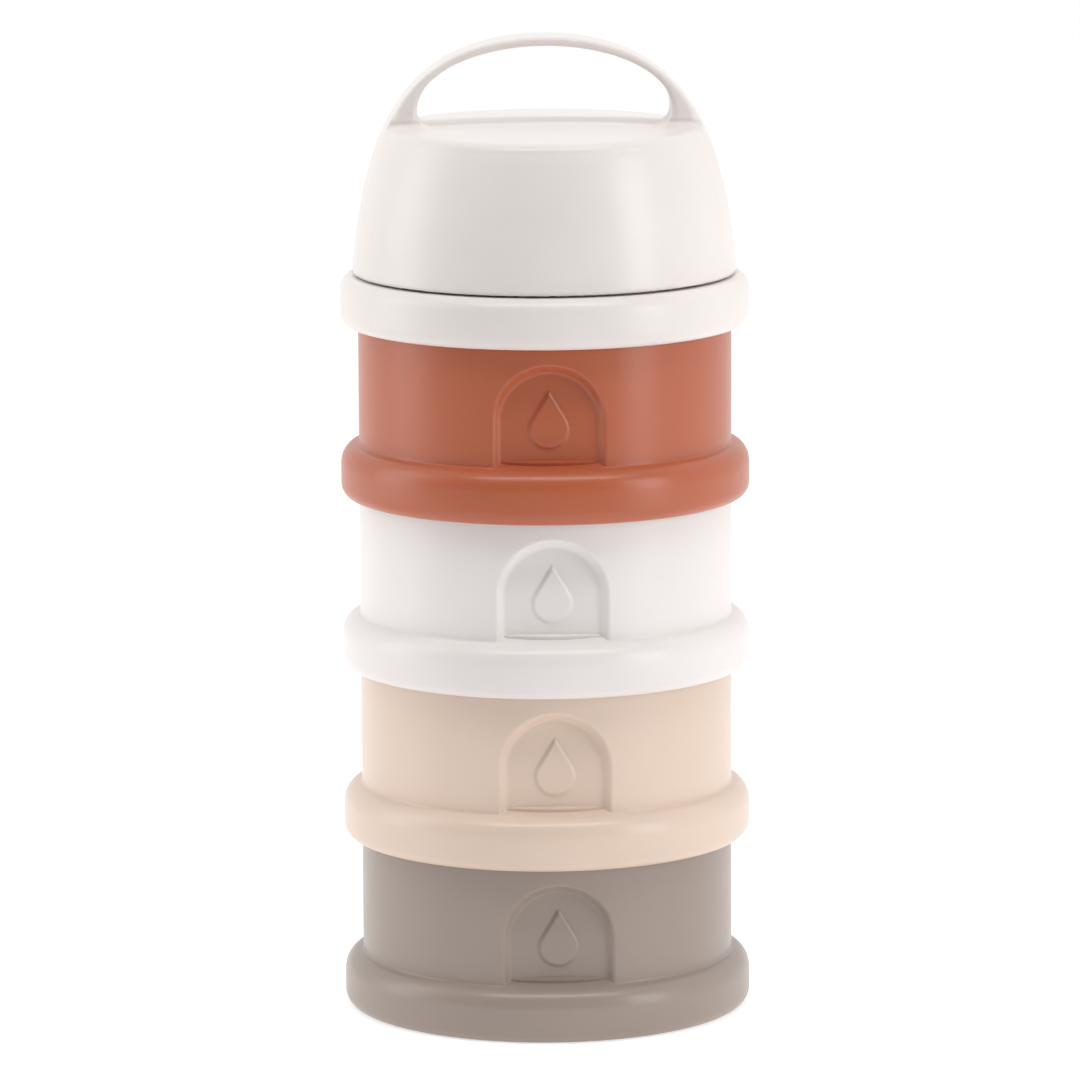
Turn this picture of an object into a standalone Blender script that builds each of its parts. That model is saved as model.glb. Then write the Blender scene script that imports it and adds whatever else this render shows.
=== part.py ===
"""Stacked baby-formula dispenser: four screw-together compartments, a pouring
collar and a domed cap with a carrying handle, each a separate moulding, with a
silicone seal in every joint.

Frame: metres, +Z up, origin at the middle of the base, thumb recesses facing -Y.
The driving dimensions are in millimetres, and MM turns them into metres. Heights
are counted from the foot of their own piece unless a comment says otherwise.
"""

from math import ceil, cos, pi, radians, sin

import bmesh
import bpy
from mathutils import Matrix, Vector

MM = 0.001
SEGMENTS = 36           # facets round every turned piece
MERGE = 0.000001        # weld distance, metres
OVERLAP = 0.6           # how far a joined shape reaches into the wall that carries it

# Stack
PITCH = 40.15           # height that one compartment adds to the stack
COMPARTMENTS = 4
COLLAR_Z = PITCH * COMPARTMENTS
# each thumb recess stands this far round from the front once its thread is tight
STOP_ANGLES = (1.2, 0.3, -0.3, -1.2)

# Grip ring, the bead round the foot of every compartment and of the collar
RING_R = 47.5
FOOT_OUT_R = 44.9       # flat foot, outer edge
SKIRT_IN_R = 44.2       # flat foot, inner edge, and the socket bore above it
FOOT_ROUND_H = 3.2

# Socket under every compartment and under the collar
CEILING_H = 10.0        # underside of the floor above it
RIB_OUT_R = 39.8        # centring rib that drops inside the neck below
RIB_IN_R = 38.8
RIB_H = 8.6

# Compartment
RING_H = 12.4           # top of the grip ring
RING_ROUND = (3.8, 4.8)     # radii of its rounded top, out and down
FLOOR_H = 11.9
FLOOR_CORNER = 1.6
WALL_R = 43.3
WALL_IN_R = 41.5
WALL_FOOT_H = 12.8      # where the wall starts to flare on to the ring
FLARE_END = (43.9, 12.35)
SHOULDER_H = 41.0
NECK_R = 42.0
NECK_IN_R = 40.3
NECK_FOOT_H = 41.3
NECK_TOP = 47.65
INNER_SLOPE = (38.9, 40.1)  # heights between which the bore narrows into the neck

# Thumb recess: a round-headed niche with a flat back, one on each compartment
ARCH_W = 25.3
ARCH_TOP = 36.0
ARCH_BACK_Y = 39.9      # distance of the flat back from the axis
ARCH_WALL = 1.6
BOSS_FRONT_Y = 40.9     # the boss behind the niche starts inside the round wall
BOSS_FOOT_H = 11.0      # and stands on the floor

# Screw threads: starts, lead, lug thickness and lug span in degrees
STACK_THREAD = (4, 12.0, 1.2, 40.0)
CAP_THREAD = (6, 24.0, 1.6, 30.0)
STACK_LUG_REACH = 1.6
STACK_LUG_H = 4.2       # the neck's lugs above the foot of the socket that takes them
SOCKET_LUG_H = 2.7      # leaves 0.3 under the neck's lugs
CAP_NECK_LUG_REACH = 1.4
CAP_NECK_LUG_H = 4.2    # above the deck
CAP_LUG_REACH = 1.8
CAP_LUG_H = 1.7         # above the cap's foot, leaves 0.4 under the neck's lugs

# Pouring collar
DECK_H = 11.7
DECK_ROUND = (3.0, 3.7)
CAP_NECK_R = 40.0
CAP_NECK_IN_R = 38.4
CAP_NECK_H = 8.8        # above the deck
SPOUT_H = 23.8          # above the deck
SPOUT_R = 13.2
SPOUT_WALL = 1.6
SPOUT_FOOT_R = 35.5

# Domed cap, heights from its foot
CAP_GAP = 0.5           # shadow gap between collar deck and cap
CAP_Z = COLLAR_Z + DECK_H + CAP_GAP
DOME_R = 44.6
DOME_H = 54.9           # crown of the handle
DOME_PULL_IN = 2.7      # the outline's two curve handles
DOME_PULL_UP = 29.6
DOME_PULL_SIDE = 35.0
LID_H = 33.6            # flat top below the handle
LID_CROWN = 0.4
LID_EDGE = 2.0
CAP_BORE_R = 42.2
CAP_WALL = 2.0
FLANGE_IN_R = 38.0
FLANGE_H = 10.3         # underside of the sealing flange
FLANGE_T = 1.6
HANDLE_W = 12.0
HANDLE_GAP_W = 58.8
HANDLE_GAP_BASE = 38.0  # where the finger opening is widest
HANDLE_GAP_TOP = 52.6   # underside of the handle's crown
HANDLE_GAP_CORNER = 4.0
HANDLE_INSET = 0.4      # the handle's root stays this far inside the lid's side

# Seals: inner radius, outer radius, thickness
STACK_SEAL = (40.25, 43.3, 1.8)
CAP_SEAL = (38.5, 41.2, 1.0)
SEAL_GAP = 0.3

ROUGHNESS = 0.42
COLOURS = {
    "cream": (0.80, 0.75, 0.72, 1.0),
    "terracotta": (0.56, 0.17, 0.09, 1.0),
    "white": (0.82, 0.78, 0.77, 1.0),
    "beige": (0.66, 0.53, 0.44, 1.0),
    "taupe": (0.36, 0.31, 0.28, 1.0),
    "seal": (0.72, 0.71, 0.69, 1.0),
}
STACK_COLOURS = ("taupe", "beige", "white", "terracotta")


def clear_scene():
    for obj in list(bpy.data.objects):
        bpy.data.objects.remove(obj, do_unlink=True)


def new_collection(name):
    collection = bpy.data.collections.new(name)
    bpy.context.scene.collection.children.link(collection)
    return collection


def make_material(name, colour):
    material = bpy.data.materials.new(name)
    material.use_nodes = True
    shader = material.node_tree.nodes["Principled BSDF"]
    shader.inputs["Base Color"].default_value = colour
    shader.inputs["Roughness"].default_value = ROUGHNESS
    shader.inputs["Metallic"].default_value = 0.0
    material.diffuse_color = colour
    return material


def add_object(name, mesh, collection, height=0.0):
    obj = bpy.data.objects.new(name, mesh)
    obj.location.z = height * MM
    collection.objects.link(obj)
    return obj


def as_tool(obj):
    """Mark an object as a guide that only cuts or joins another."""
    obj.hide_render = True
    obj.display_type = "WIRE"
    return obj


def finish(obj, material):
    """Give a piece its one material and smooth its round faces."""
    obj.data.materials.append(material)
    obj.data.shade_smooth()
    obj.data.set_sharp_from_angle(angle=radians(40.0))


def combine(obj, tool, operation):
    boolean = obj.modifiers.new(tool.name, "BOOLEAN")
    boolean.operation = operation
    boolean.solver = "EXACT"
    boolean.object = tool


# ---------------------------------------------------------------- shapes
def arc(centre, radii, start, end, steps):
    """Points along an elliptic arc, both ends included, angles in degrees."""
    angles = [radians(start + (end - start) * i / steps) for i in range(steps + 1)]
    return [(centre[0] + radii[0] * cos(a), centre[1] + radii[1] * sin(a)) for a in angles]


def turned(name, profile, collection, height=0.0, closed=True):
    """Turn a profile of (radius, height) points about Z.

    A closed profile makes a ring; an open one starts and ends on the axis.
    """
    mesh = bpy.data.meshes.new(name)
    points = [(r * MM, 0.0, z * MM) for r, z in profile]
    edges = [(i, i + 1) for i in range(len(points) - 1)]
    if closed:
        edges.append((len(points) - 1, 0))
    mesh.from_pydata(points, edges, [])
    obj = add_object(name, mesh, collection, height)
    screw = obj.modifiers.new("turn", "SCREW")
    screw.steps = SEGMENTS
    screw.render_steps = SEGMENTS
    screw.use_merge_vertices = True
    screw.merge_threshold = MERGE
    return obj


def prism(name, outline, near_y, far_y, collection, height=0.0):
    """A flat outline of (x, z) points given a thickness along Y, as a closed mesh."""
    curve = bpy.data.curves.new(name, "CURVE")
    curve.dimensions = "2D"
    curve.fill_mode = "BOTH"
    curve.extrude = (far_y - near_y) / 2 * MM
    spline = curve.splines.new("POLY")
    spline.points.add(len(outline) - 1)
    for point, (x, z) in zip(spline.points, outline):
        point.co = (x * MM, z * MM, 0.0, 1.0)
    spline.use_cyclic_u = True
    flat = bpy.data.objects.new(name + "_outline", curve)
    collection.objects.link(flat)
    flat.rotation_euler.x = pi / 2
    flat.location = (0.0, (near_y + far_y) / 2 * MM, height * MM)
    bpy.context.view_layer.update()
    evaluated = flat.evaluated_get(bpy.context.evaluated_depsgraph_get())
    mesh = bpy.data.meshes.new_from_object(evaluated)
    welded = bmesh.new()
    welded.from_mesh(mesh)
    bmesh.ops.remove_doubles(welded, verts=welded.verts, dist=MERGE)
    bmesh.ops.recalc_face_normals(welded, faces=welded.faces)
    welded.to_mesh(mesh)
    welded.free()
    obj = add_object(name, mesh, collection)
    obj.matrix_world = flat.matrix_world.copy()
    bpy.data.objects.remove(flat, do_unlink=True)
    return as_tool(obj)


def thread_lugs(name, thread, inner_r, outer_r, bottom, collection, height=0.0):
    """Helical lugs of a multi-start right-hand thread, one lug for each start."""
    starts, lead, thickness, span = thread
    steps = ceil(span * SEGMENTS / 360.0)
    rise = lead * span / 360.0 / steps
    section = [(inner_r, 0.0), (outer_r, 0.0), (outer_r, thickness), (inner_r, thickness)]
    mesh = bpy.data.meshes.new(name)
    build = bmesh.new()
    for start in range(starts):
        corners = [build.verts.new((r * MM, 0.0, (bottom + z) * MM)) for r, z in section]
        face = build.faces.new(corners)
        turn = Matrix.Rotation(2 * pi * start / starts, 3, "Z")
        bmesh.ops.rotate(build, verts=corners, cent=(0, 0, 0), matrix=turn)
        bmesh.ops.spin(
            build, geom=[face], cent=(0, 0, 0), axis=(0, 0, 1), angle=radians(span), steps=steps,
            dvec=(0, 0, rise * MM), use_duplicate=False,
        )
    bmesh.ops.recalc_face_normals(build, faces=build.faces)
    build.to_mesh(mesh)
    build.free()
    return as_tool(add_object(name, mesh, collection, height))


# ---------------------------------------------------------------- shared foot
def ring_side(top_height, top_round):
    """The grip ring's rounded top and foot, down to the inner edge of its flat foot."""
    reach, drop = top_round
    top = arc((RING_R - reach, top_height - drop), top_round, 60, 0, 2)
    foot = arc((FOOT_OUT_R, FOOT_ROUND_H), (RING_R - FOOT_OUT_R, FOOT_ROUND_H), 0, -90, 2)
    return top + foot + [(SKIRT_IN_R, 0.0)]


def socket():
    """The bore above the foot, its ceiling and the centring rib."""
    return [
        (SKIRT_IN_R, CEILING_H), (RIB_OUT_R, CEILING_H), (RIB_OUT_R, RIB_H),
        (RIB_IN_R, RIB_H), (RIB_IN_R, CEILING_H),
    ]


def socket_lugs(name, tools, height=0.0):
    """Lugs inside a socket, just under those of the neck that it takes."""
    inner_r = SKIRT_IN_R - STACK_LUG_REACH
    return thread_lugs(name, STACK_THREAD, inner_r, SKIRT_IN_R + OVERLAP, SOCKET_LUG_H, tools, height)


# ---------------------------------------------------------------- compartments
def compartment_profile():
    slope_start, slope_end = INNER_SLOPE
    cup = [
        (0.0, FLOOR_H), (WALL_IN_R - FLOOR_CORNER, FLOOR_H), (WALL_IN_R, FLOOR_H + FLOOR_CORNER),
        (WALL_IN_R, slope_start), (NECK_IN_R, slope_end), (NECK_IN_R, NECK_TOP), (NECK_R, NECK_TOP),
        (NECK_R, NECK_FOOT_H), (WALL_R, SHOULDER_H), (WALL_R, WALL_FOOT_H), FLARE_END,
    ]
    return cup + ring_side(RING_H, RING_ROUND) + socket() + [(0.0, CEILING_H)]


def arch_outline(width, bottom, top):
    radius = width / 2
    head = arc((0.0, top - radius), (radius, radius), 0, 180, 12)
    return [(radius, bottom)] + head + [(-radius, bottom)]


def make_compartment(index, parts, tools, material):
    name = f"compartment_{index + 1}"
    body = turned(name, compartment_profile(), parts, closed=False)
    boss_outline = arch_outline(ARCH_W + 2 * ARCH_WALL, BOSS_FOOT_H, ARCH_TOP + ARCH_WALL)
    boss = prism(name + "_boss", boss_outline, -BOSS_FRONT_Y, ARCH_WALL - ARCH_BACK_Y, tools)
    niche = prism(name + "_niche", arch_outline(ARCH_W, RING_H, ARCH_TOP), -RING_R, -ARCH_BACK_Y, tools)
    neck_lugs = thread_lugs(
        name + "_neck_lugs", STACK_THREAD, NECK_R - OVERLAP, NECK_R + STACK_LUG_REACH,
        PITCH + STACK_LUG_H, tools,
    )
    lower_lugs = socket_lugs(name + "_socket_lugs", tools)
    combine(body, boss, "UNION")
    combine(body, niche, "DIFFERENCE")
    combine(body, neck_lugs, "UNION")
    combine(body, lower_lugs, "UNION")
    # the piece and its tools rise and turn together
    axis = bpy.data.objects.new(name + "_axis", None)
    tools.objects.link(axis)
    for obj in (body, boss, niche, neck_lugs, lower_lugs):
        obj.parent = axis
    axis.location.z = PITCH * index * MM
    axis.rotation_euler.z = radians(STOP_ANGLES[index])
    finish(body, material)


# ---------------------------------------------------------------- pouring collar
def spout_radius(height):
    """Outer radius of the pouring cone at a height above the deck."""
    return SPOUT_FOOT_R + (SPOUT_R - SPOUT_FOOT_R) * height / SPOUT_H


def collar_profile():
    neck_top = DECK_H + CAP_NECK_H
    cone = [(spout_radius(h), DECK_H + h) for h in (SPOUT_H, SPOUT_H / 2, 0.0)]
    neck = [
        (CAP_NECK_IN_R, DECK_H), (CAP_NECK_IN_R, neck_top), (CAP_NECK_R, neck_top),
        (CAP_NECK_R, DECK_H), (RING_R - DECK_ROUND[0], DECK_H),
    ]
    bore = [(SPOUT_FOOT_R, CEILING_H), (SPOUT_R - SPOUT_WALL, DECK_H + SPOUT_H)]
    return cone + neck + ring_side(DECK_H, DECK_ROUND) + socket() + bore


def make_collar(parts, tools, material):
    body = turned("spout_collar", collar_profile(), parts, COLLAR_Z)
    cap_lugs = thread_lugs(
        "spout_collar_cap_lugs", CAP_THREAD, CAP_NECK_R - OVERLAP, CAP_NECK_R + CAP_NECK_LUG_REACH,
        DECK_H + CAP_NECK_LUG_H, tools, COLLAR_Z,
    )
    combine(body, cap_lugs, "UNION")
    combine(body, socket_lugs("spout_collar_socket_lugs", tools, COLLAR_Z), "UNION")
    finish(body, material)


# ---------------------------------------------------------------- domed cap
def dome_point(t):
    """Point at t (0 foot, 1 crown) on the one curve that dome and handle share."""
    foot = Vector((DOME_R, 0.0))
    foot_handle = Vector((DOME_R - DOME_PULL_IN, DOME_PULL_UP))
    crown_handle = Vector((DOME_PULL_SIDE, DOME_H))
    crown = Vector((0.0, DOME_H))
    s = 1.0 - t
    return s ** 3 * foot + 3 * s * s * t * foot_handle + 3 * s * t * t * crown_handle + t ** 3 * crown


def dome_share(height):
    """The curve's t at a height above the cap's foot, by bisection."""
    low, high = 0.0, 1.0
    for _ in range(40):
        middle = (low + high) / 2
        if dome_point(middle).y < height:
            low = middle
        else:
            high = middle
    return low


def dome_radius(height):
    return dome_point(dome_share(height)).x


def cap_profile():
    ceiling = LID_H - CAP_WALL
    flange_top = FLANGE_H + FLANGE_T
    top = [(0.0, LID_H + LID_CROWN), (dome_radius(LID_H) - LID_EDGE, LID_H)]
    side = [(dome_radius(h), h) for h in (LID_H - LID_EDGE * 0.8, 24.0, 16.0, 8.0, 0.0)]
    flange = [
        (CAP_BORE_R, 0.0), (CAP_BORE_R, FLANGE_H), (FLANGE_IN_R, FLANGE_H), (FLANGE_IN_R, flange_top),
    ]
    inside = [(dome_radius(h) - CAP_WALL, h) for h in (flange_top, 20.0, ceiling - 1.5)]
    return top + side + flange + inside + [(dome_radius(ceiling) - 2 * CAP_WALL, ceiling), (0.0, ceiling)]


def handle_blank_profile():
    """The shared curve from the crown down to a flat inside the lid's top wall."""
    base = LID_H - CAP_WALL / 2
    start = dome_share(base)
    steps = 10
    outline = [dome_point(1.0 - (1.0 - start) * i / steps) for i in range(steps + 1)]
    points = [(p.x, p.y) for p in outline[:-1]]
    return points + [(outline[-1].x - HANDLE_INSET, base), (0.0, base)]


def finger_opening():
    """Half an ellipse on rounded lower corners, down into the lid's top wall."""
    half = HANDLE_GAP_W / 2
    corner = (HANDLE_GAP_CORNER, HANDLE_GAP_BASE - LID_H + OVERLAP)
    crown = arc((0.0, HANDLE_GAP_BASE), (half, HANDLE_GAP_TOP - HANDLE_GAP_BASE), 0, 180, 16)
    left = arc((HANDLE_GAP_CORNER - half, HANDLE_GAP_BASE), corner, 200, 270, 2)
    right = arc((half - HANDLE_GAP_CORNER, HANDLE_GAP_BASE), corner, 270, 340, 2)
    return crown + left + right


def make_cap(parts, tools, material):
    """Dome, and on it the strip of its carried-on outline that is left as a handle."""
    body = turned("cap", cap_profile(), parts, CAP_Z, closed=False)
    handle = as_tool(turned("cap_handle", handle_blank_profile(), tools, CAP_Z, closed=False))
    sides = [(-DOME_R, 0.0), (DOME_R, 0.0), (DOME_R, 2 * DOME_H), (-DOME_R, 2 * DOME_H)]
    slab = prism("handle_slab", sides, -HANDLE_W / 2, HANDLE_W / 2, tools, CAP_Z)
    opening = prism("finger_opening", finger_opening(), -HANDLE_W, HANDLE_W, tools, CAP_Z)
    lugs = thread_lugs(
        "cap_lugs", CAP_THREAD, CAP_BORE_R - CAP_LUG_REACH, CAP_BORE_R + OVERLAP, CAP_LUG_H, tools, CAP_Z,
    )
    combine(handle, slab, "INTERSECT")
    combine(handle, opening, "DIFFERENCE")
    combine(body, handle, "UNION")
    combine(body, lugs, "UNION")
    finish(body, material)


# ---------------------------------------------------------------- seals
def make_seal(name, section, rim_height, parts, material):
    """A flat ring just above the rim that it seals."""
    inner_r, outer_r, thickness = section
    profile = [(outer_r, thickness), (outer_r, 0.0), (inner_r, 0.0), (inner_r, thickness)]
    finish(turned(name, profile, parts, rim_height + SEAL_GAP), material)


def main():
    clear_scene()
    parts = new_collection("formula_dispenser")
    tools = new_collection("cutters")
    plastics = {name: make_material(name, colour) for name, colour in COLOURS.items()}
    for index, colour in enumerate(STACK_COLOURS):
        make_compartment(index, parts, tools, plastics[colour])
    make_collar(parts, tools, plastics["cream"])
    make_cap(parts, tools, plastics["cream"])
    for index in range(COMPARTMENTS):
        make_seal(f"seal_{index + 1}", STACK_SEAL, PITCH * index + NECK_TOP, parts, plastics["seal"])
    make_seal("cap_seal", CAP_SEAL, COLLAR_Z + DECK_H + CAP_NECK_H, parts, plastics["seal"])


main()
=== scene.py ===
"""Looks of the stacked formula dispenser: fine moulded surfaces, satin plastic,
a pale studio floor and the camera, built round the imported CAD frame."""

from math import cos, pi, radians, sin

import bmesh
import bpy
import numpy as np
from mathutils import Matrix, Vector


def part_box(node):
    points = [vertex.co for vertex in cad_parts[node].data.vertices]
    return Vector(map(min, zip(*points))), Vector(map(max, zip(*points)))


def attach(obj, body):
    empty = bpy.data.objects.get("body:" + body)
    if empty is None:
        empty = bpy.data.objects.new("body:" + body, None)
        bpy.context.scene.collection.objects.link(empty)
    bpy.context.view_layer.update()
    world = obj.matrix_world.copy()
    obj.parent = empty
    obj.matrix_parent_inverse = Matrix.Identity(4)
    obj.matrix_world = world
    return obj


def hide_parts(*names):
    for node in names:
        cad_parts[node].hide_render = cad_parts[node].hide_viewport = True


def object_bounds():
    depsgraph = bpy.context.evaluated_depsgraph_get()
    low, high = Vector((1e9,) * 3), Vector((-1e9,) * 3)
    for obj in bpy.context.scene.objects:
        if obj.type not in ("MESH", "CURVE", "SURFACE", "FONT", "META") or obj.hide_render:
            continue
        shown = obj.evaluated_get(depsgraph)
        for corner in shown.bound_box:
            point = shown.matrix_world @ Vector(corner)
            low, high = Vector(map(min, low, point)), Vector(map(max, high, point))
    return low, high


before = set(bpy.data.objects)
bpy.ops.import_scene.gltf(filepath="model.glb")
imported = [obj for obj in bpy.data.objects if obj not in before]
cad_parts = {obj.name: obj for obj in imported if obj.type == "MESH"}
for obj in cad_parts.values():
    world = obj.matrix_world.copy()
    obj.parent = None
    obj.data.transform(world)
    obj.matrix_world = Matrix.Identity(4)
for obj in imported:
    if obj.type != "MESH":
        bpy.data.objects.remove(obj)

CAD_LOW, CAD_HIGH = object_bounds()
MM = 0.001

# ---------------------------------------------------------------- sizes, mm
# read from the frame
PITCH = (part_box("compartment_2")[0].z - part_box("compartment_1")[0].z) / MM
RING_R = (CAD_HIGH.x - CAD_LOW.x) / 2 / MM
COLLAR_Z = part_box("spout_collar")[0].z / MM
CAP_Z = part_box("cap")[0].z / MM
DOME_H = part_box("cap")[1].z / MM - CAP_Z
NECK_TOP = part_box("compartment_1")[1].z / MM
SPOUT_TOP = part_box("spout_collar")[1].z / MM - COLLAR_Z

# shared by every moulding with a grip ring
RING_H = 12.4
RING_ROUND = (3.8, 4.8)     # radii of its rounded top, out and down
TOP_ANGLE = 86.0            # where that rounding starts
FOOT_OUT_R = 44.9
FOOT_ROUND_H = 3.2
SKIRT_IN_R = 44.2
CEILING_H = 10.0
FLOOR_H = 11.9
RIB_OUT_R = 39.8
RIB_IN_R = 38.8
RIB_H = 8.6

# compartment
WALL_R = 43.3
WALL_IN_R = 41.5
SHOULDER_H = 41.0
NECK_R = 42.0
NECK_IN_R = 40.3
STOP_ANGLES = (1.2, 0.3, -0.3, -1.2)
WALL_FILLET = 0.6       # at the wall's foot, from straight down to FILLET_END
FILLET_END = 254.0
DECK_START_R = WALL_R + WALL_FILLET * (1.0 + cos(radians(FILLET_END)))
DECK_END_R = RING_R - RING_ROUND[0] * (1.0 - cos(radians(TOP_ANGLE)))
DECK_RISE = 0.9         # the foot of the thumb recess slopes up this far to its back
DECK_RISE_REACH = 2.0

# thumb recess and its droplet
ARCH_HALF = 12.65
ARCH_TOP = 36.0
ARCH_BACK_Y = 39.9
ARCH_WALL = 1.6
RIM_OUT = 0.35          # the rim starts to fall away this far outside the outline
RIM_IN = 1.9            # and reaches the flat back this far inside it
RIM_EASE = 0.8          # below 1, the rim falls away faster at first
DROP_MIDDLE = 8.8       # middle of the droplet's round part above the ring's top
DROP_R = 4.4
DROP_TIP = 8.6          # tip above that middle
DROP_RELIEF = 0.5
DROP_EDGE = 0.5

# threads: starts, lead, lug thickness, span in degrees
STACK_THREAD = (4, 12.0, 1.2, 40.0)
CAP_THREAD = (6, 24.0, 1.6, 30.0)
MALE_LUG_H = PITCH + 4.2
SOCKET_LUG_H = 2.7
LUG_REACH = 1.6
LUG_FLANK = 0.25        # width of a lug's sloping flank
LUG_END = 3.0           # degrees over which a lug's end runs out

# collar
DECK_H = 11.7
DECK_ROUND = (3.0, 3.7)
CAP_NECK_R = 40.0
CAP_NECK_IN_R = 38.4
CAP_NECK_H = 8.8
SPOUT_R = 13.2
SPOUT_WALL = 1.6
SPOUT_FOOT_R = 35.5
CAP_MALE_LUG_H = DECK_H + 4.2
CAP_MALE_REACH = 1.4

# cap
DOME_R = 44.6
DOME_PULL = (2.7, 29.6, 35.0)
LID_H = 33.6
LID_CROWN = 0.5
LID_ROUND = 2.6
CAP_WALL = 2.0
CAP_BORE_R = 42.2
FLANGE_IN_R = 38.0
FLANGE_H = 10.3
FLANGE_T = 1.6
CAP_LUG_H = 1.7
CAP_LUG_REACH = 1.8
HANDLE_HALF_W = 6.0
HANDLE_FLARE = 2.0      # added to each side at the roots
HANDLE_FLARE_H = 12.0   # height over which that fades out
HANDLE_FLARE_TOP = 44.0
HANDLE_ROUND = 1.1
HANDLE_GAP_HALF = 29.4
HANDLE_GAP_BASE = 38.0
HANDLE_GAP_TOP = 52.6
HANDLE_FILLET = 3.2
FILLET_ZONE = 6.0       # the fillet is worked out from this far below the lid's top
FILLET_FADE_H = 4.0     # and grows to its full radius over this height
CAP_VOXEL = 0.55
SETTLE_MOST = 1.2       # farthest that a point of the remeshed cap may slide

# seals, width of the ring
SEAL_WIDTH = 3.05
CAP_SEAL_WIDTH = 2.7

# colours of the plastics, linear
CREAM = (0.82, 0.765, 0.735)
TERRACOTTA = (0.47, 0.118, 0.052)
WHITE = (0.82, 0.775, 0.755)
BEIGE = (0.74, 0.585, 0.48)
TAUPE = (0.33, 0.265, 0.228)
SILICONE = (0.66, 0.65, 0.62)

# ---------------------------------------------------------------- studio, metres
WORLD_FRONT = 0.1
WORLD_BACK = 0.95
FLOOR_SIZE = 14.0
FLOOR_Y = 2.0           # middle of the floor
FLOOR_GLOW = 0.58
GLOW_START_Y = -0.6     # the floor starts to glow here
GLOW_FULL_Y = -0.2
LIGHT_TARGET = (0.0, 0.0, 0.12)
# name, place, width, height, watts
SOFTBOXES = (
    ("softbox_left", (-0.9, 0.05, 0.4), 0.5, 0.9, 2.4),
    ("softbox_right", (0.85, -0.55, 0.35), 0.35, 0.8, 3.4),
    ("softbox_top", (0.0, -0.42, 1.1), 1.2, 0.16, 4.8),
)

# viewpoint, metres and degrees
CAMERA_DISTANCE = 1.6683
CAMERA_HEIGHT = 0.3984
CAMERA_AROUND = -2.45
CAMERA_PITCH = 9.83
CAMERA_YAW = 0.045
CAMERA_ROLL = -0.27
CAMERA_LENS = 242.0


# ---------------------------------------------------------------- outlines
def line(start, end, step):
    """Points from start to just before end, at most step apart."""
    length = float(np.hypot(end[0] - start[0], end[1] - start[1]))
    count = max(1, int(np.ceil(length / step)))
    return [
        (start[0] + (end[0] - start[0]) * i / count, start[1] + (end[1] - start[1]) * i / count)
        for i in range(count)
    ]


def arc(centre, radii, start, end, steps):
    """Points along an elliptic arc, both ends included, angles in degrees."""
    angles = [radians(start + (end - start) * i / steps) for i in range(steps + 1)]
    return [(centre[0] + radii[0] * cos(a), centre[1] + radii[1] * sin(a)) for a in angles]


def tagged(points, tag):
    return [(r, z, tag) for r, z in points]


def ring_side(top_height, top_round):
    """Grip ring from the start of its rounded top down to the inner edge of the flat foot."""
    foot_radii = (RING_R - FOOT_OUT_R, FOOT_ROUND_H)
    top_centre = (RING_R - top_round[0], top_height - top_round[1])
    points = arc(top_centre, top_round, TOP_ANGLE, 0, 12)
    points += arc((FOOT_OUT_R, FOOT_ROUND_H), foot_radii, 0, -90, 9)
    points += arc((SKIRT_IN_R + 0.25, 0.25), (0.25, 0.25), -90, -180, 3)
    return tagged(points, "ring")


def socket(inner_end):
    """Skirt bore with its lug band, ceiling and centring rib, in to inner_end on the ceiling."""
    band = line((SKIRT_IN_R, 2.2), (SKIRT_IN_R, 6.0), 0.2)
    points = tagged(band + [(SKIRT_IN_R, 6.0), (SKIRT_IN_R, CEILING_H - 0.6)], "socket_lugs")
    flat = arc((SKIRT_IN_R - 0.5, CEILING_H - 0.5), (0.5, 0.5), 0, 90, 4)
    flat += arc((RIB_OUT_R + 0.2, CEILING_H - 0.2), (0.2, 0.2), 90, 180, 2)
    flat += arc((RIB_OUT_R - 0.3, RIB_H + 0.3), (0.3, 0.3), 0, -90, 3)
    flat += arc((RIB_IN_R + 0.3, RIB_H + 0.3), (0.3, 0.3), -90, -180, 3)
    flat += [(RIB_IN_R, CEILING_H - 0.1), (RIB_IN_R - 0.1, CEILING_H), inner_end]
    return points + tagged(flat, "plain")


def compartment_outline():
    floor = [(0.0, FLOOR_H), (8.0, FLOOR_H), (18.0, FLOOR_H), (28.0, FLOOR_H), (36.0, FLOOR_H)]
    floor += arc((WALL_IN_R - 2.0, FLOOR_H + 2.0), (2.0, 2.0), -90, 0, 6)
    inner = line((WALL_IN_R, FLOOR_H + 2.6), (WALL_IN_R, SHOULDER_H - 2.1), 0.8)
    lip = [(WALL_IN_R, SHOULDER_H - 2.1), (NECK_IN_R + 0.1, SHOULDER_H - 0.9)]
    lip.append((NECK_IN_R, SHOULDER_H - 0.7))
    rim = arc((NECK_IN_R + 0.5, NECK_TOP - 0.5), (0.5, 0.5), 180, 90, 4)
    rim += arc((NECK_R - 0.5, NECK_TOP - 0.5), (0.5, 0.5), 90, 0, 4)
    neck = line((NECK_R, NECK_TOP - 0.6), (NECK_R, MALE_LUG_H - 0.6), 0.2)
    foot = [(NECK_R, SHOULDER_H + 0.6), (NECK_R + 0.3, SHOULDER_H + 0.3)]
    shoulder = arc((WALL_R - 0.5, SHOULDER_H - 0.3), (0.5, 0.5), 90, 0, 4)
    wall = line((WALL_R, SHOULDER_H - 0.6), (WALL_R, RING_H + 0.8), 0.36)
    fillet_centre = (WALL_R + WALL_FILLET, RING_H + WALL_FILLET)
    fillet = arc(fillet_centre, (WALL_FILLET, WALL_FILLET), 180, FILLET_END, 6)
    deck = line(fillet[-1], (DECK_END_R, RING_H), 0.01)[1:]
    return (
        tagged(floor, "plain") + tagged(inner, "cavity") + tagged(lip + rim, "plain")
        + tagged(neck, "neck_lugs") + tagged(foot + shoulder, "plain") + tagged(wall + fillet, "wall")
        + tagged(deck, "deck")
        + ring_side(RING_H, RING_ROUND) + socket((0.0, CEILING_H))
    )


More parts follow.
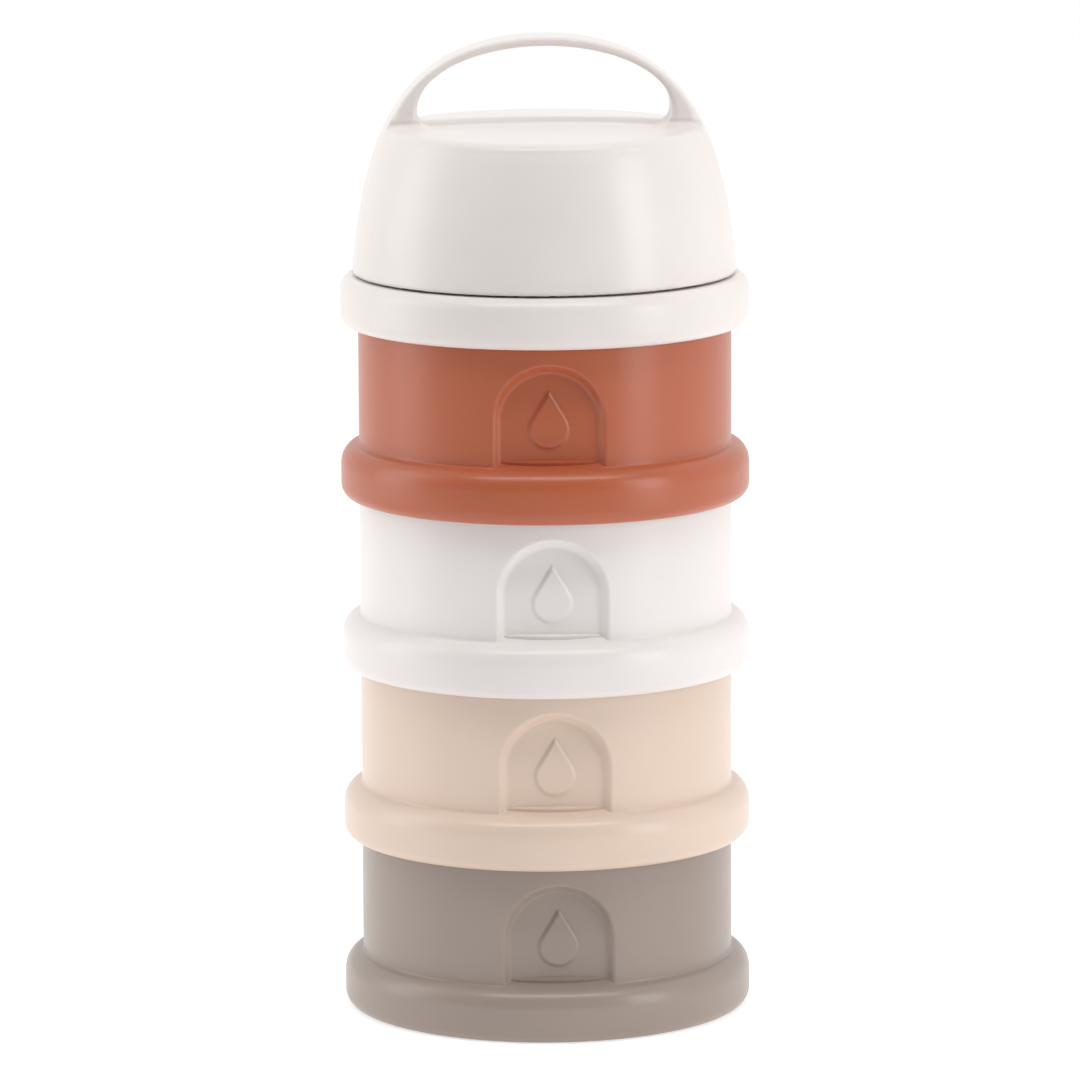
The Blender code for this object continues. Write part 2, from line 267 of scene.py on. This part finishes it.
def collar_outline():
    mouth = SPOUT_TOP
    slope_foot = (SPOUT_FOOT_R - 2.0, DECK_H + 2.2)
    lip_r = SPOUT_WALL / 2
    lip = arc((SPOUT_R - lip_r, mouth - lip_r), (lip_r, lip_r), 180, 0, 8)
    cone = line((SPOUT_R + 0.1, mouth - 1.4), slope_foot, 1.5)
    flare = [slope_foot, (SPOUT_FOOT_R - 0.6, DECK_H + 0.9), (SPOUT_FOOT_R + 0.6, DECK_H + 0.2)]
    flare += [(SPOUT_FOOT_R + 1.6, DECK_H), (CAP_NECK_IN_R - 0.2, DECK_H), (CAP_NECK_IN_R, DECK_H + 0.2)]
    top = DECK_H + CAP_NECK_H
    rim = arc((CAP_NECK_IN_R + 0.4, top - 0.4), (0.4, 0.4), 180, 90, 3)
    rim += arc((CAP_NECK_R - 0.4, top - 0.4), (0.4, 0.4), 90, 0, 3)
    neck = line((CAP_NECK_R, top - 0.6), (CAP_NECK_R, DECK_H + 3.6), 0.25)
    deck = [(CAP_NECK_R, DECK_H + 0.4), (CAP_NECK_R + 0.4, DECK_H), (CAP_NECK_R + 2.4, DECK_H)]
    bore = line((SPOUT_FOOT_R - 2.6, CEILING_H + 2.4), (SPOUT_R - SPOUT_WALL, mouth - 2.0), 1.5)
    bore = [(SPOUT_FOOT_R - 1.2, CEILING_H + 0.9)] + bore + [(SPOUT_R - SPOUT_WALL, mouth - 1.2)]
    return (
        tagged(lip + cone + flare + rim, "plain") + tagged(neck, "cap_neck_lugs") + tagged(deck, "plain")
        + ring_side(DECK_H, DECK_ROUND) + socket((SPOUT_FOOT_R + 1.0, CEILING_H))
        + tagged(bore, "plain")
    )


# ---------------------------------------------------------------- fields
def smooth(value):
    value = np.clip(value, 0.0, 1.0)
    return value * value * (3.0 - 2.0 * value)


def arch_depth(x, z):
    """Distance inside the round-headed outline, negative outside; it has no lower edge."""
    centre = ARCH_TOP - ARCH_HALF
    return ARCH_HALF - np.hypot(x, np.maximum(z - centre, 0.0))


def drop_depth(x, z):
    """Distance inside a droplet that stands tip up, negative outside."""
    across = np.abs(x)
    up = z - (RING_H + DROP_MIDDLE)
    lean = np.arcsin(DROP_R / DROP_TIP)
    flank = -(across * np.cos(lean) + (up - DROP_TIP) * np.sin(lean))
    belly = DROP_R - np.hypot(across, up)
    return np.where(np.arctan2(up, across) > lean, flank, belly)


def recess_fall(x, z):
    """0 on the round wall to 1 on the flat back of the niche."""
    share = np.clip((arch_depth(x, z) + RIM_OUT) / (RIM_OUT + RIM_IN), 0.0, 1.0)
    return smooth(share ** RIM_EASE)


def recess(x, y, z):
    """Move wall points straight back along Y into the niche and raise the droplet in it."""
    fall = recess_fall(x, z)
    front = y < 0.0
    relief = DROP_RELIEF * smooth(drop_depth(x, z) / DROP_EDGE + 0.5)
    return np.where(front, y + (-ARCH_BACK_Y - y) * fall - relief * fall, y)


def recess_inside(x, y, z):
    """The same niche seen from the powder side: a shallow boss."""
    fall = smooth((arch_depth(x, z) + ARCH_WALL + RIM_OUT) / (RIM_OUT + RIM_IN))
    back = -(ARCH_BACK_Y - ARCH_WALL)
    deeper = np.maximum(y, back)
    return np.where(y < 0.0, y + (deeper - y) * fall, y)


def lug_height(angle, z, thread, bottom):
    """How far (0 to 1) a helical lug stands out at this angle and height."""
    starts, lead, thickness, span = thread
    along = np.degrees(angle) % (360.0 / starts)
    middle = bottom + thickness / 2 + lead * along / 360.0
    flank = np.clip((thickness / 2 - np.abs(z - middle)) / LUG_FLANK, 0.0, 1.0)
    ends = np.clip(np.minimum(along, span - along) / LUG_END, 0.0, 1.0)
    return flank * ends


# ---------------------------------------------------------------- meshes
def mesh_from_grid(name, points, poles):
    """Closed mesh from a (rows, columns, 3) grid that wraps round in both directions.

    poles says that the first and last rows are single points on the axis.
    """
    rows, columns, _ = points.shape
    verts = points.reshape(-1, 3) * MM
    index = np.arange(rows * columns).reshape(rows, columns)
    after = np.roll(index, -1, axis=1)
    last = rows - 1 if poles else rows
    below = np.roll(index, -1, axis=0)
    below_after = np.roll(after, -1, axis=0)
    faces = np.stack([index, below, below_after, after], axis=-1)[:last].reshape(-1, 4)
    mesh = bpy.data.meshes.new(name)
    mesh.from_pydata(verts.tolist(), [], faces.tolist())
    if poles:
        build = bmesh.new()
        build.from_mesh(mesh)
        bmesh.ops.remove_doubles(build, verts=build.verts, dist=1e-6)
        build.to_mesh(mesh)
        build.free()
    mesh.shade_smooth()
    mesh.set_sharp_from_angle(angle=radians(50.0))
    return mesh


def column_angles(coarse, fine=None, half=21.0):
    """Angles from the front (-Y), finer across the recess if asked."""
    if fine is None:
        count = int(360 / coarse)
        return np.radians(np.arange(count) * 360.0 / count)
    inner = np.linspace(-half, half, int(round(2 * half / fine)) + 1)
    outer_count = int(round((360.0 - 2 * half) / coarse))
    outer = half + (360.0 - 2 * half) * np.arange(1, outer_count) / outer_count
    return np.radians(np.concatenate([inner, outer]))


def turned_grid(outline, angles):
    """Grid of a turned outline, with its recess and lugs."""
    radius = np.array([p[0] for p in outline])[:, None]
    height = np.array([p[1] for p in outline])[:, None] + 0.0 * angles[None, :]
    tags = np.array([p[2] for p in outline])
    angle = angles[None, :] + 0.0 * radius
    radius = radius + 0.0 * angle
    # lug angles are counted from +X, a quarter turn round from the front
    from_x = angle - pi / 2
    for tag, thread, bottom, reach in (
        ("neck_lugs", STACK_THREAD, MALE_LUG_H, LUG_REACH),
        ("socket_lugs", STACK_THREAD, SOCKET_LUG_H, -LUG_REACH),
        ("cap_neck_lugs", CAP_THREAD, CAP_MALE_LUG_H, CAP_MALE_REACH),
    ):
        rows = tags == tag
        radius[rows] += reach * lug_height(from_x[rows], height[rows], thread, bottom)
    x = radius * np.sin(angle)
    y = -radius * np.cos(angle)
    rows = (tags == "wall") | (tags == "deck")
    # fillet rows stand off the wall: sink the wall behind them and keep their offset
    wall_x = WALL_R * np.sin(angle[rows])
    wall_y = -WALL_R * np.cos(angle[rows])
    sunk = recess(wall_x, wall_y, height[rows]) - wall_y
    # the deck in front of the recess spreads out evenly from its back to the ring
    share = np.clip((DECK_END_R - radius[rows]) / (DECK_END_R - DECK_START_R), 0.0, 1.0)
    y[rows] += sunk * share
    # the foot of the recess slopes up from the ring's crest to its back
    rise = np.exp((RING_H - height[rows]) / DECK_RISE_REACH) * recess_fall(wall_x, height[rows])
    height[rows] += np.where(wall_y < 0.0, DECK_RISE * rise * share, 0.0)
    rows = tags == "cavity"
    y[rows] = recess_inside(x[rows], y[rows], height[rows])
    return np.stack([x, y, height], axis=-1)


def add_piece(name, mesh, body, node, material, height=0.0, turn=0.0):
    piece = bpy.data.objects.new(name, mesh)
    bpy.context.scene.collection.objects.link(piece)
    piece.matrix_world = Matrix.Translation((0, 0, height * MM)) @ Matrix.Rotation(radians(turn), 4, "Z")
    mesh.materials.append(material)
    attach(piece, body)
    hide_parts(node)
    return piece


# ---------------------------------------------------------------- cap
def dome_curve(t):
    """(radius, height) on the outline that the dome and the handle share; t 0 foot, 1 crown."""
    pull_in, pull_up, pull_side = DOME_PULL
    s = 1.0 - t
    corners = ((DOME_R, 0.0), (DOME_R - pull_in, pull_up), (pull_side, DOME_H), (0.0, DOME_H))
    weights = (s ** 3, 3 * s * s * t, 3 * s * t * t, t ** 3)
    return sum(w * np.array(c) for w, c in zip(weights, corners))


DOME_LINE = np.array([dome_curve(t) for t in np.linspace(0.0, 1.0, 81)])


def dome_radius(height):
    return float(np.interp(height, DOME_LINE[:, 1], DOME_LINE[:, 0]))


def lid_outline():
    """Closed (radius, height) outline of the cap without its handle, mirrored across the axis."""
    edge_r = dome_radius(LID_H - LID_ROUND * 0.75)
    lid_flat = edge_r - LID_ROUND
    crown = [(lid_flat * i / 6, LID_H + LID_CROWN * (1 - (i / 6) ** 2)) for i in range(6)]
    edge = arc((lid_flat, LID_H - LID_ROUND), (LID_ROUND, LID_ROUND), 90, 12, 10)
    side = [(dome_radius(h), h) for h in np.linspace(LID_H - LID_ROUND - 0.6, 0.6, 34)]
    foot = arc((DOME_R - 0.4, 0.3), (0.35, 0.3), 10, -90, 4)
    foot += arc((CAP_BORE_R + 0.4, 0.4), (0.4, 0.4), -90, -180, 3)
    flange_top = FLANGE_H + FLANGE_T
    flange = [
        (CAP_BORE_R, FLANGE_H), (FLANGE_IN_R, FLANGE_H), (FLANGE_IN_R, flange_top),
        (dome_radius(flange_top) - CAP_WALL, flange_top),
    ]
    ceiling = LID_H - CAP_WALL
    inside = [(dome_radius(h) - CAP_WALL, h) for h in np.linspace(flange_top + 1.0, ceiling - 2.5, 12)]
    inside += arc((dome_radius(ceiling) - CAP_WALL - 2.6, ceiling - 2.4), (2.4, 2.4), 0, 90, 6)
    half = crown + edge + side + foot + flange + inside + [(0.0, ceiling)]
    mirrored = [(-r, h) for r, h in reversed(half) if r > 0.0]
    return np.array(half + mirrored)


def polygon_distance(px, pz, outline):
    """Signed distance to a closed outline, negative inside."""
    best = np.full(px.shape, np.inf)
    inside = np.zeros(px.shape, bool)
    for a, b in zip(outline, np.roll(outline, -1, axis=0)):
        edge = b - a
        length2 = float(edge @ edge)
        if length2 < 1e-12:
            continue
        wx, wz = px - a[0], pz - a[1]
        share = np.clip((wx * edge[0] + wz * edge[1]) / length2, 0.0, 1.0)
        best = np.minimum(best, (wx - share * edge[0]) ** 2 + (wz - share * edge[1]) ** 2)
        crosses = ((a[1] > pz) != (b[1] > pz))
        if a[1] != b[1]:
            inside ^= crosses & (px < (b[0] - a[0]) * (pz - a[1]) / (b[1] - a[1]) + a[0])
    return np.where(inside, -1.0, 1.0) * np.sqrt(best)


def handle_outline():
    """Crescent between the shared outline and the finger opening, closed below the lid's top."""
    bottom = LID_H - 3.0
    outer = [(r, h) for r, h in DOME_LINE if h > bottom]
    outer += [(-r, h) for r, h in reversed(outer[:-1])]
    half, base = HANDLE_GAP_HALF, HANDLE_GAP_BASE
    inner = arc((0.0, base), (half, HANDLE_GAP_TOP - base), 180, 0, 48)
    right = [(half - 0.4, LID_H - 1.2), (half - 1.4, bottom), (outer[0][0] - 1.0, bottom)]
    left = [(-r, h) for r, h in reversed(right)]
    return np.array(outer + left + inner + right)


LID_LINE = lid_outline()
HANDLE_LINE = handle_outline()
WHOLE_LINE = np.array([(r, h) for r, h in DOME_LINE] + [(-r, h) for r, h in DOME_LINE[-2::-1]])


def handle_distance(x, y, z):
    """Signed distance to the handle: the crescent given a rounded width along Y, wider at its roots."""
    section = polygon_distance(x, z, HANDLE_LINE) + HANDLE_ROUND
    root = np.clip((HANDLE_FLARE_TOP - z) / HANDLE_FLARE_H, 0.0, 1.0)
    across = np.abs(y) - HANDLE_HALF_W - HANDLE_FLARE * root ** 2 + HANDLE_ROUND
    outside = np.hypot(np.maximum(section, 0.0), np.maximum(across, 0.0))
    return outside + np.minimum(np.maximum(section, across), 0.0) - HANDLE_ROUND


def cap_distance(p):
    """Signed distance to the cap: lid, handle filleted on to it, and thread lugs."""
    x, y, z = p[:, 0], p[:, 1], p[:, 2]
    radius = np.hypot(x, y)
    body = polygon_distance(radius, z, LID_LINE)
    fillet_start = LID_H - FILLET_ZONE
    top = z > fillet_start
    lid = body[top]
    handle = handle_distance(x[top], y[top], z[top])
    fillet = HANDLE_FILLET * np.clip((z[top] - fillet_start) / FILLET_FADE_H, 0.0, 1.0)
    corner = np.hypot(np.maximum(fillet - lid, 0.0), np.maximum(fillet - handle, 0.0))
    joined = np.maximum(fillet, np.minimum(lid, handle)) - corner
    # the shared outline trims the fillet, so that lid and handle stay flush outside
    body[top] = np.maximum(joined, polygon_distance(radius[top], z[top], WHOLE_LINE))
    foot = z < FLANGE_H - 0.5
    stand = CAP_LUG_REACH * lug_height(np.arctan2(y[foot], x[foot]), z[foot], CAP_THREAD, CAP_LUG_H)
    lugs = np.maximum(CAP_BORE_R - stand - radius[foot], radius[foot] - DOME_R + 1.5)
    body[foot] = np.where(stand > 0.0, np.minimum(body[foot], lugs), body[foot])
    return body


def settle(points, distance, passes, most):
    """Slide points along the field's slope on to its surface, at most `most` away."""
    start = points.copy()
    step = 0.02
    flattest = 0.25
    for _ in range(passes):
        value = distance(points)
        rises = [(distance(points + offset) - value) / step for offset in np.eye(3) * step]
        slope = np.stack(rises, axis=-1)
        size = np.maximum((slope ** 2).sum(axis=1), flattest)
        points = points - (value / size)[:, None] * slope
        shift = points - start
        far = np.maximum(np.linalg.norm(shift, axis=1) / most, 1.0)[:, None]
        points = start + shift / far
    return points


def cap_mesh():
    """The CAD cap remeshed finely, then settled on to the smooth filleted surface."""
    rough = bpy.data.objects.new("cap_rough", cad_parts["cap"].data.copy())
    bpy.context.scene.collection.objects.link(rough)
    rough.matrix_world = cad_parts["cap"].matrix_world.copy()
    remesh = rough.modifiers.new("remesh", "REMESH")
    remesh.mode = "VOXEL"
    remesh.voxel_size = CAP_VOXEL * MM
    bpy.context.view_layer.update()
    evaluated = rough.evaluated_get(bpy.context.evaluated_depsgraph_get())
    mesh = bpy.data.meshes.new_from_object(evaluated)
    mesh.transform(rough.matrix_world)
    bpy.data.objects.remove(rough, do_unlink=True)
    points = np.empty(len(mesh.vertices) * 3)
    mesh.vertices.foreach_get("co", points)
    points = points.reshape(-1, 3) / MM - (0.0, 0.0, CAP_Z)
    points = settle(points, cap_distance, 3, SETTLE_MOST)
    mesh.vertices.foreach_set("co", (points * MM).ravel())
    mesh.update()
    mesh.materials.clear()
    mesh.shade_smooth()
    return mesh


# ---------------------------------------------------------------- materials
def add_noise(material, scale, detail, distortion=0.0):
    """Output of a noise that stays fixed to the piece."""
    nodes, links = material.node_tree.nodes, material.node_tree.links
    place = nodes.new("ShaderNodeTexCoord")
    noise = nodes.new("ShaderNodeTexNoise")
    noise.inputs["Scale"].default_value = scale
    noise.inputs["Detail"].default_value = detail
    noise.inputs["Distortion"].default_value = distortion
    links.new(place.outputs["Object"], noise.inputs["Vector"])
    return noise.outputs["Fac"]


def add_range(owner, value, source, target, interpolation="LINEAR"):
    """Output that maps a value from one range of numbers to another."""
    node = owner.node_tree.nodes.new("ShaderNodeMapRange")
    node.interpolation_type = interpolation
    node.inputs["From Min"].default_value = source[0]
    node.inputs["From Max"].default_value = source[1]
    node.inputs["To Min"].default_value = target[0]
    node.inputs["To Max"].default_value = target[1]
    owner.node_tree.links.new(value, node.inputs["Value"])
    return node.outputs["Result"]


def add_y(owner, coordinate):
    """Output with the Y part of a texture coordinate."""
    nodes, links = owner.node_tree.nodes, owner.node_tree.links
    place = nodes.new("ShaderNodeTexCoord")
    split = nodes.new("ShaderNodeSeparateXYZ")
    links.new(place.outputs[coordinate], split.inputs["Vector"])
    return split.outputs["Y"]


def plastic(name, colour, roughness=0.3, grain=0.05, soft=0.0):
    """Satin moulded plastic: faint clouding, fine spark-eroded grain, uneven gloss."""
    material = bpy.data.materials.new(name)
    material.use_nodes = True
    nodes, links = material.node_tree.nodes, material.node_tree.links
    shader = nodes["Principled BSDF"]
    shader.inputs["IOR"].default_value = 1.5
    shader.inputs["Subsurface Weight"].default_value = soft
    shader.inputs["Subsurface Radius"].default_value = (1.0, 0.7, 0.5)
    shader.inputs["Subsurface Scale"].default_value = 0.002

    cloud = add_noise(material, 38.0, 4.0)
    shades = nodes.new("ShaderNodeValToRGB")
    shades.color_ramp.elements[0].position = 0.3
    shades.color_ramp.elements[1].position = 0.7
    shades.color_ramp.elements[0].color = (*[c * 0.975 for c in colour], 1.0)
    shades.color_ramp.elements[1].color = (*[min(c * 1.02, 1.0) for c in colour], 1.0)
    links.new(cloud, shades.inputs["Fac"])
    links.new(shades.outputs["Color"], shader.inputs["Base Color"])

    handling = add_noise(material, 90.0, 6.0, distortion=0.6)
    gloss = add_range(material, handling, (0.3, 0.7), (roughness - 0.02, roughness + 0.025))
    links.new(gloss, shader.inputs["Roughness"])

    bump = nodes.new("ShaderNodeBump")
    bump.inputs["Strength"].default_value = grain
    bump.inputs["Distance"].default_value = 0.00004
    links.new(add_noise(material, 3200.0, 2.0), bump.inputs["Height"])
    links.new(bump.outputs["Normal"], shader.inputs["Normal"])
    return material


# ---------------------------------------------------------------- pieces
def build_compartments():
    outline = compartment_outline()
    grid = turned_grid(outline, column_angles(3.0, 0.5))
    finishes = (("taupe", TAUPE), ("beige", BEIGE), ("white", WHITE), ("terracotta", TERRACOTTA))
    for index, (slot, colour) in enumerate(finishes):
        name = f"compartment_{index + 1}"
        mesh = mesh_from_grid(name + "_shell", grid, poles=True)
        material = plastic("plastic_" + slot, colour)
        add_piece(name + "_shell", mesh, name, name, material, PITCH * index, STOP_ANGLES[index])


def build_collar(material):
    name = "spout_collar"
    grid = turned_grid(collar_outline(), column_angles(2.5))
    mesh = mesh_from_grid(name + "_shell", grid, poles=False)
    add_piece(name + "_shell", mesh, name, name, material, COLLAR_Z)


def build_cap(material):
    add_piece("cap_shell", cap_mesh(), "cap", "cap", material, CAP_Z)


def build_seals():
    """Soft rings with rounded corners."""
    material = plastic("silicone", SILICONE, roughness=0.5, grain=0.05, soft=0.15)
    for node in ("seal_1", "seal_2", "seal_3", "seal_4", "cap_seal"):
        low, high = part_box(node)
        outer = high.x / MM
        inner = outer - (CAP_SEAL_WIDTH if node == "cap_seal" else SEAL_WIDTH)
        thick = (high.z - low.z) / MM
        corner = thick * 0.3
        points = arc((outer - corner, thick - corner), (corner, corner), 90, 0, 4)
        points += arc((outer - corner * 0.6, corner), (corner * 0.6, corner), 0, -90, 4)
        points += arc((inner + corner, corner), (corner, corner), -90, -180, 4)
        points += arc((inner + corner, thick - corner), (corner, corner), 180, 90, 4)
        grid = turned_grid(tagged(points, "plain"), column_angles(3.0))
        mesh = mesh_from_grid(node + "_ring", grid, poles=False)
        add_piece(node + "_ring", mesh, node, node, material, low.z / MM)


# ---------------------------------------------------------------- studio
def build_floor():
    """A pale floor that glows round the object and behind it, like a light table."""
    bpy.ops.mesh.primitive_plane_add(size=FLOOR_SIZE, location=(0.0, FLOOR_Y, 0.0))
    floor = bpy.context.object
    floor.name = "studio_floor"
    material = bpy.data.materials.new("studio_floor")
    material.use_nodes = True
    shader = material.node_tree.nodes["Principled BSDF"]
    shader.inputs["Base Color"].default_value = (0.62, 0.62, 0.62, 1.0)
    shader.inputs["Roughness"].default_value = 0.9
    shader.inputs["Specular IOR Level"].default_value = 0.1
    shader.inputs["Emission Color"].default_value = (1.0, 1.0, 1.0, 1.0)
    reach = (GLOW_START_Y - FLOOR_Y, GLOW_FULL_Y - FLOOR_Y)
    glow = add_range(material, add_y(material, "Object"), reach, (0.0, FLOOR_GLOW), "SMOOTHSTEP")
    material.node_tree.links.new(glow, shader.inputs["Emission Strength"])
    floor.data.materials.append(material)


def add_softbox(name, place, width, height, power):
    light = bpy.data.lights.new(name, "AREA")
    light.shape = "RECTANGLE"
    light.size = width
    light.size_y = height
    light.energy = power
    box = bpy.data.objects.new(name, light)
    bpy.context.scene.collection.objects.link(box)
    box.location = place
    box.rotation_euler = (Vector(LIGHT_TARGET) - Vector(place)).to_track_quat("-Z", "Y").to_euler()


def build_lights():
    """A white tent that is darker towards the front, and three softboxes."""
    world = bpy.data.worlds.new("studio")
    world.use_nodes = True
    background = world.node_tree.nodes["Background"]
    background.inputs["Color"].default_value = (1.0, 1.0, 1.0, 1.0)
    direction = add_y(world, "Generated")
    strength = add_range(world, direction, (-0.9, 0.4), (WORLD_FRONT, WORLD_BACK), "SMOOTHSTEP")
    world.node_tree.links.new(strength, background.inputs["Strength"])
    bpy.context.scene.world = world
    bpy.context.scene.view_settings.view_transform = "Standard"
    for name, place, width, height, power in SOFTBOXES:
        add_softbox(name, place, width, height, power)


def build_camera():
    data = bpy.data.cameras.new("camera")
    data.lens = CAMERA_LENS
    data.sensor_width = 36.0
    data.clip_end = 50.0
    camera = bpy.data.objects.new("camera", data)
    bpy.context.scene.collection.objects.link(camera)
    around = radians(CAMERA_AROUND)
    place = Vector((CAMERA_DISTANCE * sin(around), -CAMERA_DISTANCE * cos(around), CAMERA_HEIGHT))
    turn = Matrix.Rotation(around + radians(CAMERA_YAW), 4, "Z")
    tilt = Matrix.Rotation(radians(90.0 - CAMERA_PITCH), 4, "X")
    roll = Matrix.Rotation(radians(CAMERA_ROLL), 4, "Z")
    camera.matrix_world = Matrix.Translation(place) @ turn @ tilt @ roll
    bpy.context.scene.camera = camera


cream = plastic("plastic_cream", CREAM)
build_compartments()
build_collar(cream)
build_cap(cream)
build_seals()
build_floor()
build_lights()
build_camera()
